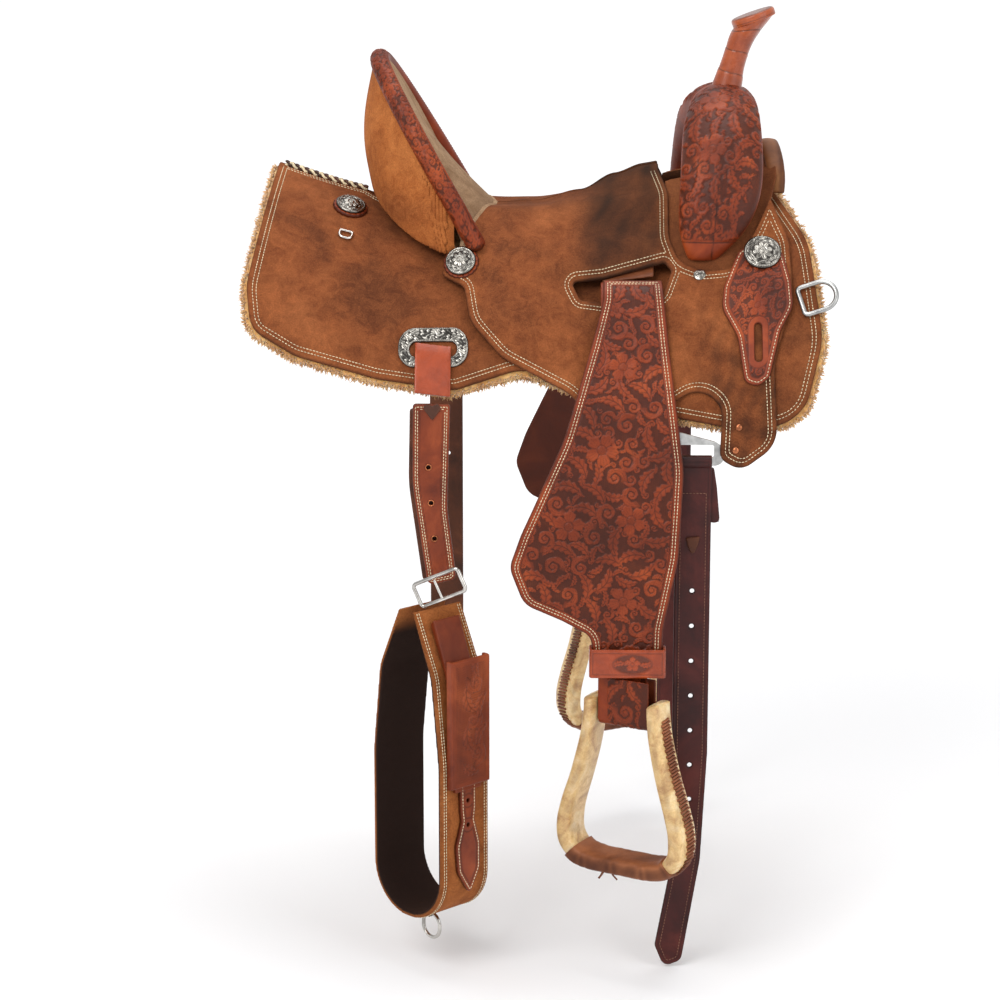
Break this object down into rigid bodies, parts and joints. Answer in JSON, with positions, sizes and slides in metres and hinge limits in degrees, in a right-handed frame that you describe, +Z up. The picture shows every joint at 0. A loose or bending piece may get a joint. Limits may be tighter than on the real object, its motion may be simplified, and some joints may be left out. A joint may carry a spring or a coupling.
{
  "type": "western saddle",
  "caption": "Western riding saddle with horn, high cantle, roughout seat and skirts, fleece lining, tooled fenders, turned rawhide stirrups, billets and a hanging flank cinch.",
  "frame": {"origin": "on the spine line at mid length, level with the skirts' ridge, where the saddle rests on a rack", "axes": "+X forward towards the horn, +Y to the horse's left (near) side, +Z up"},
  "size_m": [0.733, 0.746, 1.1873],
  "materials": {
    "roughout_leather": "napped suede side out, warm tan brown",
    "tooled_leather": "smooth, floral tooling, dark antiquing, satin",
    "horn_leather": "smooth wrapped leather, glossy dark mahogany",
    "strap_leather": "plain harness leather, satin",
    "tread_leather": "smooth brown leather, worn",
    "billet_leather": "smooth red brown leather, satin",
    "latigo_leather": "oiled oxblood leather, matte",
    "rawhide": "pale translucent rawhide, semi gloss",
    "fleece": "golden wool pile, matte",
    "tree_wood": "plain softwood, covered",
    "steel": "brushed stainless",
    "silver": "engraved, bright with dark lines",
    "copper": "burnished copper rivet heads"
  },
  "bodies": {
    "tree": {"skirt_right": "roughout_leather", "skirt_left": "roughout_leather", "fleece_right": "fleece", "fleece_left": "fleece", "tree_bar_right": "tree_wood", "tree_bar_left": "tree_wood", "slotted_rosette_right": "tooled_leather", "slotted_rosette_left": "tooled_leather", "concho_rosettes_right": "tooled_leather", "concho_rosettes_left": "tooled_leather", "conchos_right": "silver", "conchos_left": "silver", "rivets_right": "copper", "rivets_left": "copper", "flank_plate_right": "silver", "flank_plate_left": "silver", "rigging_plate_right": "steel", "rigging_plate_left": "steel", "rear_billet_loop_right": "billet_leather", "rear_billet_loop_left": "billet_leather", "seat_leather": "roughout_leather", "ground_seat": "strap_leather", "tree_fork": "tree_wood", "fork_cover": "tooled_leather", "horn_neck_wrap": "horn_leather", "horn_core": "steel", "horn_cap": "horn_leather", "gullet_lip": "horn_leather", "cantle_back": "roughout_leather", "tree_cantle": "tree_wood", "cantle_face": "roughout_leather", "cantle_binding": "tooled_leather", "skirt_lacing": "strap_leather"},
    "loop_right": {"stirrup_leather_loop_right": "strap_leather"},
    "fender_right": {"fender_right": "tooled_leather", "stirrup_leather_right": "strap_leather", "hobble_strap_right": "tooled_leather"},
    "stirrup_right": {"stirrup_right": "rawhide", "stirrup_bolt_right": "steel", "stirrup_tread_wrap_right": "tread_leather"},
    "breast_dee_right": {"breast_dee_right": "steel"},
    "string_dee_right": {"string_dee_right": "steel"},
    "loop_left": {"stirrup_leather_loop_left": "strap_leather"},
    "fender_left": {"fender_left": "tooled_leather", "stirrup_leather_left": "strap_leather", "hobble_strap_left": "tooled_leather"},
    "stirrup_left": {"stirrup_left": "rawhide", "stirrup_bolt_left": "steel", "stirrup_tread_wrap_left": "tread_leather"},
    "breast_dee_left": {"breast_dee_left": "steel"},
    "string_dee_left": {"string_dee_left": "steel"},
    "off_billet": {"off_billet": "latigo_leather"},
    "latigo": {"latigo": "latigo_leather"},
    "rear_billet_right": {"rear_billet_right": "billet_leather", "flank_cinch": "strap_leather", "cinch_sleeve": "tooled_leather", "cinch_buckle": "silver"},
    "rear_billet_left": {"rear_billet_left": "billet_leather"},
    "buckle_tongue": {"cinch_buckle_tongue": "silver"},
    "cinch_ring": {"cinch_ring": "silver"}
  },
  "joints": [
    {"name": "leather_swing_right", "type": "hinge", "parent": "tree", "child": "loop_right", "pos_m": [0.119, -0.1201, -0.0247], "axis": [0, -0.5592, 0.829], "range_deg": [-4, 2.5]},
    {"name": "leather_swing_left", "type": "hinge", "parent": "tree", "child": "loop_left", "pos_m": [0.119, 0.1201, -0.0247], "axis": [0, -0.5592, -0.829], "range_deg": [-4, 2.5]},
    {"name": "fender_lift_right", "type": "hinge", "parent": "loop_right", "child": "fender_right", "pos_m": [0.119, -0.1713, -0.0615], "axis": [-1, 0, 0], "range_deg": [0, 92]},
    {"name": "fender_lift_left", "type": "hinge", "parent": "loop_left", "child": "fender_left", "pos_m": [0.119, 0.1713, -0.0615], "axis": [1, 0, 0], "range_deg": [0, 92]},
    {"name": "stirrup_swing_right", "type": "hinge", "parent": "fender_right", "child": "stirrup_right", "pos_m": [0.119, -0.3055, -0.582], "axis": [0.866, -0.5, 0], "range_deg": [-45, 8]},
    {"name": "stirrup_swing_left", "type": "hinge", "parent": "fender_left", "child": "stirrup_left", "pos_m": [0.119, 0.3055, -0.582], "axis": [-0.866, -0.5, 0], "range_deg": [-45, 8]},
    {"name": "breast_dee_lift_right", "type": "hinge", "parent": "tree", "child": "breast_dee_right", "pos_m": [0.33024, -0.21086, -0.07893], "axis": [0.2587, -0.5821, -0.7708], "range_deg": [0, 60]},
    {"name": "breast_dee_lift_left", "type": "hinge", "parent": "tree", "child": "breast_dee_left", "pos_m": [0.33024, 0.21086, -0.07893], "axis": [-0.2587, -0.5821, 0.7708], "range_deg": [0, 60]},
    {"name": "string_dee_lift_right", "type": "hinge", "parent": "tree", "child": "string_dee_right", "pos_m": [-0.2335, -0.10649, -0.00671], "axis": [-0.9687, 0, 0.2481], "range_deg": [0, 90]},
    {"name": "string_dee_lift_left", "type": "hinge", "parent": "tree", "child": "string_dee_left", "pos_m": [-0.2335, 0.10649, -0.00671], "axis": [0.9687, 0, -0.2481], "range_deg": [0, 90]},
    {"name": "off_billet_swing", "type": "hinge", "parent": "tree", "child": "off_billet", "pos_m": [0.199, -0.2663, -0.267], "axis": [1, 0, 0], "range_deg": [0, 22]},
    {"name": "latigo_swing", "type": "hinge", "parent": "tree", "child": "latigo", "pos_m": [0.199, 0.2663, -0.267], "axis": [-1, 0, 0], "range_deg": [0, 22]},
    {"name": "rear_billet_swing_right", "type": "hinge", "parent": "tree", "child": "rear_billet_right", "pos_m": [-0.121, -0.2527, -0.195], "axis": [1, 0, 0], "range_deg": [0, 15]},
    {"name": "rear_billet_swing_left", "type": "hinge", "parent": "tree", "child": "rear_billet_left", "pos_m": [-0.121, 0.252, -0.195], "axis": [-1, 0, 0], "range_deg": [0, 15]},
    {"name": "tongue_swing", "type": "hinge", "parent": "rear_billet_right", "child": "buckle_tongue", "pos_m": [-0.11803, -0.28204, -0.40941], "axis": [-0.8619, 0.2801, -0.4226], "range_deg": [0, 50]},
    {"name": "cinch_ring_swing", "type": "hinge", "parent": "rear_billet_right", "child": "cinch_ring", "pos_m": [-0.125, -0.258, -0.857], "axis": [0.7071, -0.7071, 0], "range_deg": [-60, 60]}
  ]
}
